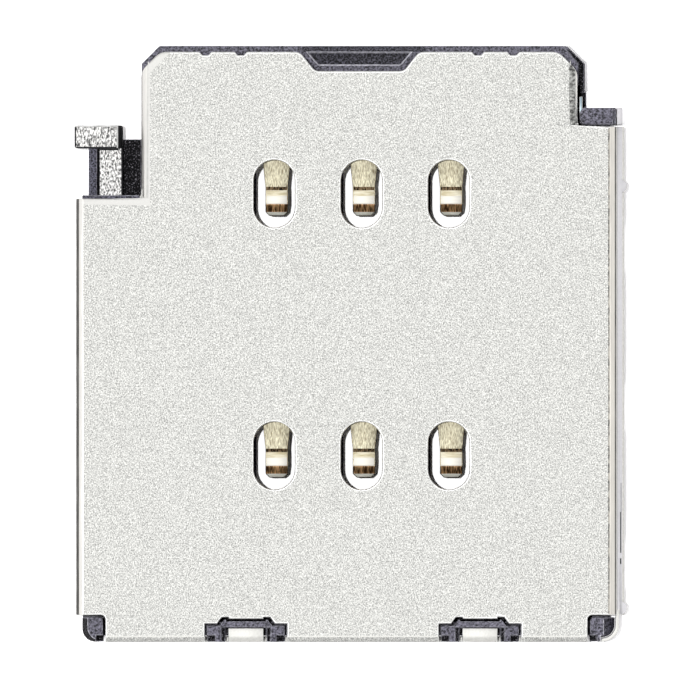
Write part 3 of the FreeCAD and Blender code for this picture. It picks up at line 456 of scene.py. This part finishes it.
def press_flat(piece, level):
    """Presses what stands above a level down to it."""
    with shaping(piece, "VERT", lambda corner: corner.co.z > level):
        bpy.ops.transform.resize(value=(1.0, 1.0, 0.0), center_override=(0.0, 0.0, level))


def looks_up(face):
    """Whether a face is a flat that looks up."""
    return face.normal.z > BEND_LIFT


def on_step(face):
    """Whether a face is a flat of the right step."""
    return looks_up(face) and face.calc_center_median().x > STEP_X * MM


def score_top(piece, place, way, chosen=looks_up, snap_mm=SCORE_SNAP):
    """Divides the chosen flats along a straight line through a place."""
    with shaping(piece, "FACE", chosen):
        bpy.ops.mesh.bisect(
            plane_co=(place[0] * MM, place[1] * MM, 0.0), plane_no=(*way, 0.0),
            threshold=snap_mm * MM)


def in_slit(middle, low, high):
    """Whether a place lies between the corners of a slit or on its walls, seen from above."""
    across = low[0] - SLIT_SNAP < middle.x < high[0] + SLIT_SNAP
    along = low[1] - SLIT_SNAP < middle.y < high[1] + SLIT_SNAP
    return across and along


def sink_slit(piece, low, high, depth_mm):
    """Sinks a narrow slit into the flat of the right step, between two corners."""
    def slit_floor(face):
        return looks_up(face) and in_slit(face.calc_center_median() / MM, low, high)

    for way in (TO_RIGHT, TO_MOUTH):
        for spot in (low, high):
            score_top(piece, spot, way, on_step, SLIT_SNAP)
    with shaping(piece, "FACE", slit_floor):
        bpy.ops.mesh.extrude_region_move(
            TRANSFORM_OT_translate={"value": (0.0, 0.0, -depth_mm * MM)})
        bpy.ops.mesh.select_more(use_face_step=False)
        bpy.ops.mesh.mark_sharp()


def paint_faces(piece, finish_of):
    """Gives each face the finish chosen from its middle, its normal and the finish that it has."""
    finishes = piece.data.materials
    for face in piece.data.polygons:
        finish = finish_of(face.center / MM, face.normal, finishes[face.material_index])
        face.material_index = finishes.find(finish.name)


def on_border(middle):
    """Whether a place on the plate lies in a smooth border: the left shoulder or its corner."""
    shoulder = middle.x < LEFT_SHOULDER[0] and middle.y > LEFT_SHOULDER[1]
    return shoulder or middle.y - middle.x > CORNER_BAND


def bend_finish(middle, lift):
    """Finish of a bend, by its place and tilt: bright and dark copies of the steel paint highlight
    and shade on its facets.
    """
    if middle.y < REAR_BEND_Y:
        at_tab = abs(abs(middle.x) - TAB_X) < TAB_HALF
        return bared_steel if at_tab else blasted_steel
    if middle.y > RIGHT_SHOULDER_Y and middle.x > 0.0:
        return rippled_shade_steel if lift > HALF_LIFT else bend_highlight_steel
    if middle.y > LEFT_SHOULDER[1] and middle.x < 0.0:
        if lift > BROW_LIFT:
            return planished_steel
        return bend_highlight_steel if lift > SKIRT_LIFT else bend_shade_steel
    if middle.x > 0.0:
        return cream_reflection_steel if lift > HALF_LIFT else bend_shade_steel
    return bend_highlight_steel if lift > STEEP_LIFT else bend_shade_steel


def cover_finish(middle, normal, finish):
    """Blasted plate and skirts, planished borders, bare tabs, tinned step; painted shade on high
    cut sides and in slits, a painted dark reflection on the pitted strip by the right bend, and
    bends painted lit and shaded by place.
    """
    lift = abs(normal.z)
    if any(in_slit(middle, low, high) for low, high in SLITS):
        return shadowed_steel
    if middle.x > STEP_X:
        return bared_steel if CUT_LIFT < lift < BEND_LIFT else tinned_steel
    if finish == sheared_steel:
        return planished_steel if on_border(middle) else sheared_steel
    if lift < CUT_LIFT:
        return shadowed_steel if middle.z > SKIRT_LEVEL else blasted_steel
    if lift < BEND_LIFT:
        return bend_finish(middle, lift)
    if middle.x > RIGHT_BEND_X:
        return pitted_shade_steel if middle.z > PLATE_LEVEL else bared_steel
    if middle.y < TAB_Y:
        return bared_steel
    return planished_steel if on_border(middle) else blasted_steel


def painted_highlight_edge(middle, normal):
    """Whether a rounded edge gets painted highlight: round the recess, and outside on the corner
    posts.
    """
    recess = abs(middle.x) < NOTCH_EDGE_X and MOUTH_Y < middle.y < RECESS_FRONT_Y
    post_foot = abs(middle.x) > POST_PLACE[0] and middle.y < POST_PLACE[1]
    outward = normal.x if middle.x > 0.0 else -normal.x
    return recess or (post_foot and middle.z > BEND_LEVEL and outward > SKIRT_LIFT)


def base_finish(middle, normal, finish):
    """Mottled where the skin looks up, with painted shade at the mouth, in hollows and on slopes,
    and painted highlight on some edges.
    """
    if finish == rubbed_highlit_plastic:
        return edge_highlight_plastic if painted_highlight_edge(middle, normal) else rubbed_highlit_plastic
    if normal.z < BEND_LIFT:
        right_post = middle.x > POST_PLACE[0] and middle.y < POST_PLACE[1]
        return recess_shade_plastic if right_post and normal.z > CUT_LIFT else hollow_shade_plastic
    if middle.y > LIP_Y:
        return recess_shade_plastic if abs(middle.x) < NOTCH_X else moulded_plastic
    if middle.y > MOUTH_Y:
        if middle.z > SHELF_LEVEL:
            return moulded_plastic
        return recess_shade_plastic if abs(middle.x) < RECESS_X else hollow_shade_plastic
    if middle.x < LEDGE_X and middle.y > 0.0:
        return shaded_plastic if middle.z > CHANNEL_LEVEL else hollow_shade_plastic
    return moulded_plastic if middle.z > HOLLOW_LEVEL else hollow_shade_plastic


def contact_finish(middle, normal, finish):
    """Plated arm, painted shade on the knee, worn brow, rubbed crest with painted highlight,
    shaded fall and painted highlight on the tip.
    """
    if finish == gold_edge:
        return gold_edge
    if normal.z < CUT_LIFT:
        return gold_plate
    if normal.z < BROW_LIFT:
        return knee_shade_gold if normal.y > 0.0 else shaded_gold
    if middle.z < FALL_LEVEL:
        return tip_highlight_gold
    if middle.z > CREST_LEVEL:
        return rubbed_highlit_gold
    return worn_gold if middle.z > BROW_LEVEL else gold_plate


def rod_finish(middle, normal, finish):
    """Tumbled faces, with painted shade on the slopes at the sides and at the rear of the head."""
    slope = CUT_LIFT < normal.z < BEND_LIFT
    scaled = slope and (abs(normal.x) > SKIRT_LIFT or normal.y < -SKIRT_LIFT)
    return shadowed_steel if scaled else finish


def spring_finish(middle, normal, finish):
    """Blued spring with a tinned end beyond the lug."""
    return tinned_steel if middle.x > LUG_END else finish


cover = dress(
    "cover_shell", "pressed_cover", "housing", "shell_steel",
    blasted_steel, sheared_steel, bend_highlight_steel, bend_shade_steel, tinned_steel, bared_steel,
    pitted_shade_steel, shadowed_steel, planished_steel, rippled_shade_steel, cream_reflection_steel)
score_top(cover, LEFT_SHOULDER, TO_MOUTH)
score_top(cover, LEFT_SHOULDER, TO_RIGHT)
score_top(cover, (0.0, CORNER_BAND), TO_LEFT_CORNER)
score_top(cover, (RIGHT_BEND_X, 0.0), TO_RIGHT)
smooth_bends(cover, BEND_FACET)
roll_rim(cover, RIM_ROLL)
round_edges(cover, COVER_EDGE)
press_flat(cover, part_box("cover_shell")[1].z)
for low, high in SLITS:
    sink_slit(cover, low, high, SLIT_DEPTH)
paint_faces(cover, cover_finish)

base = dress(
    "base_housing", "moulded_base", "housing", "base_plastic",
    moulded_plastic, rubbed_highlit_plastic, hollow_shade_plastic, shaded_plastic, recess_shade_plastic,
    edge_highlight_plastic)
score_top(base, (0.0, MOUTH_Y), TO_MOUTH)
score_top(base, (0.0, LIP_Y), TO_MOUTH)
score_top(base, (-NOTCH_X, 0.0), TO_RIGHT)
score_top(base, (NOTCH_X, 0.0), TO_RIGHT)
round_edges(base, BASE_EDGE)
paint_faces(base, base_finish)

for row in ("front", "rear"):
    for column in ("left", "middle", "right"):
        contact = dress(
            f"contact_{row}_{column}", f"spring_contact_{row}_{column}", "housing", "contact_gold",
            gold_plate, gold_edge, rubbed_highlit_gold, shaded_gold, worn_gold, knee_shade_gold, tip_highlight_gold)
        round_edges(contact, CONTACT_EDGE)
        paint_faces(contact, contact_finish)

rod = dress(
    "eject_rod", "push_bar", "push_rod", "rod_steel", tumbled_steel, rubbed_steel, shadowed_steel)
round_edges(rod, ROD_EDGE)
paint_faces(rod, rod_finish)

lever = dress(
    "eject_lever", "swing_arm", "swing_lever", "lever_steel", rolled_steel, rubbed_steel)
round_edges(lever, LEVER_EDGE)
pin = dress(
    "lever_pivot_pin", "pivot_rivet", "housing", "lever_steel", rolled_steel, rubbed_steel)
round_edges(pin, PIN_EDGE)

spring = dress(
    "detect_spring", "switch_spring", "housing", "spring_steel",
    blued_steel, rubbed_steel, tinned_steel)
round_edges(spring, SPRING_EDGE)
paint_faces(spring, spring_finish)
terminal = dress(
    "detect_terminal", "switch_terminal", "housing", "spring_steel", tinned_steel, rubbed_steel)
round_edges(terminal, TERMINAL_EDGE)
leaf = dress("tray_spring", "tray_leaf", "housing", "spring_steel", blued_steel, rubbed_steel)
round_edges(leaf, SPRING_EDGE)


# Studio

def white_table():
    """Pale floor that shows white where it is lit and keeps the shadows."""
    bpy.ops.object.select_all(action="DESELECT")
    bpy.ops.mesh.primitive_plane_add(size=TABLE_WIDTH, location=(0.0, 0.0, 0.0))
    table = bpy.context.object
    table.name = "white_table"
    paint = bpy.data.materials.new("table_paint")
    paint.use_nodes = True
    tree = paint.node_tree
    tree.nodes.clear()
    output = tree.nodes.new("ShaderNodeOutputMaterial")
    ray = tree.nodes.new("ShaderNodeLightPath")
    share = tree.nodes.new("ShaderNodeMath")
    share.operation = "MULTIPLY_ADD"
    share.inputs[1].default_value = MIRRORED_SHARE
    matt = tree.nodes.new("ShaderNodeBsdfDiffuse")
    matt.inputs["Color"].default_value = (*TABLE_PAINT, 1.0)
    bright = tree.nodes.new("ShaderNodeBsdfDiffuse")
    bright.inputs["Color"].default_value = (*TABLE_SEEN, 1.0)
    choice = tree.nodes.new("ShaderNodeMixShader")
    tree.links.new(ray.outputs["Is Glossy Ray"], share.inputs[0])
    tree.links.new(ray.outputs["Is Camera Ray"], share.inputs[2])
    tree.links.new(share.outputs["Value"], choice.inputs["Fac"])
    tree.links.new(matt.outputs["BSDF"], choice.inputs[1])
    tree.links.new(bright.outputs["BSDF"], choice.inputs[2])
    tree.links.new(choice.outputs["Shader"], output.inputs["Surface"])
    table.data.materials.append(paint)


def key_lamp():
    """Small lamp nearly overhead, leaning to the left."""
    lamp = bpy.data.lights.new("key_lamp", "SUN")
    lamp.energy = KEY_STRENGTH
    lamp.angle = math.radians(KEY_SOFTNESS)
    key = bpy.data.objects.new("key_lamp", lamp)
    key.rotation_euler = (math.radians(-KEY_TILT), math.radians(-KEY_LEAN), 0.0)
    bpy.context.scene.collection.objects.link(key)


def soft_room():
    """Room with bright walls and a dimmer ceiling, white to the camera."""
    world = bpy.data.worlds.new("soft_room")
    world.use_nodes = True
    tree = world.node_tree
    tree.nodes.clear()
    output = tree.nodes.new("ShaderNodeOutputWorld")
    way = tree.nodes.new("ShaderNodeTexCoord")
    parts = tree.nodes.new("ShaderNodeSeparateXYZ")
    # The two stops of a new ramp make way for the levels of the room
    ramp = tree.nodes.new("ShaderNodeValToRGB")
    stops = ramp.color_ramp.elements
    stops.remove(stops[0])
    for height, level in ROOM_LEVELS:
        stops.new(height).color = (level, level, level, 1.0)
    stops.remove(stops[-1])
    sky = tree.nodes.new("ShaderNodeBackground")
    backdrop = tree.nodes.new("ShaderNodeBackground")
    backdrop.inputs["Color"].default_value = (*WHITE, 1.0)
    ray = tree.nodes.new("ShaderNodeLightPath")
    choice = tree.nodes.new("ShaderNodeMixShader")
    tree.links.new(way.outputs["Generated"], parts.inputs["Vector"])
    tree.links.new(parts.outputs["Z"], ramp.inputs["Fac"])
    tree.links.new(ramp.outputs["Color"], sky.inputs["Color"])
    tree.links.new(ray.outputs["Is Camera Ray"], choice.inputs["Fac"])
    tree.links.new(sky.outputs["Background"], choice.inputs[1])
    tree.links.new(backdrop.outputs["Background"], choice.inputs[2])
    tree.links.new(choice.outputs["Shader"], output.inputs["Surface"])
    bpy.context.scene.world = world


def overhead_camera():
    """Long lens straight above the plate, with the mouth at the top of the picture."""
    eye = bpy.data.cameras.new("overhead_camera")
    eye.lens = LENS
    eye.sensor_width = SENSOR
    eye.clip_start = NEAREST_SEEN
    camera = bpy.data.objects.new("overhead_camera", eye)
    plate_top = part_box("cover_shell")[1].z
    distance = FRAME_WIDTH * MM * LENS / SENSOR
    camera.location = (FRAME_MIDDLE[0] * MM, FRAME_MIDDLE[1] * MM, plate_top + distance)
    bpy.context.scene.collection.objects.link(camera)
    bpy.context.scene.camera = camera


white_table()
key_lamp()
soft_room()
overhead_camera()
bpy.context.scene.view_settings.view_transform = "Standard"
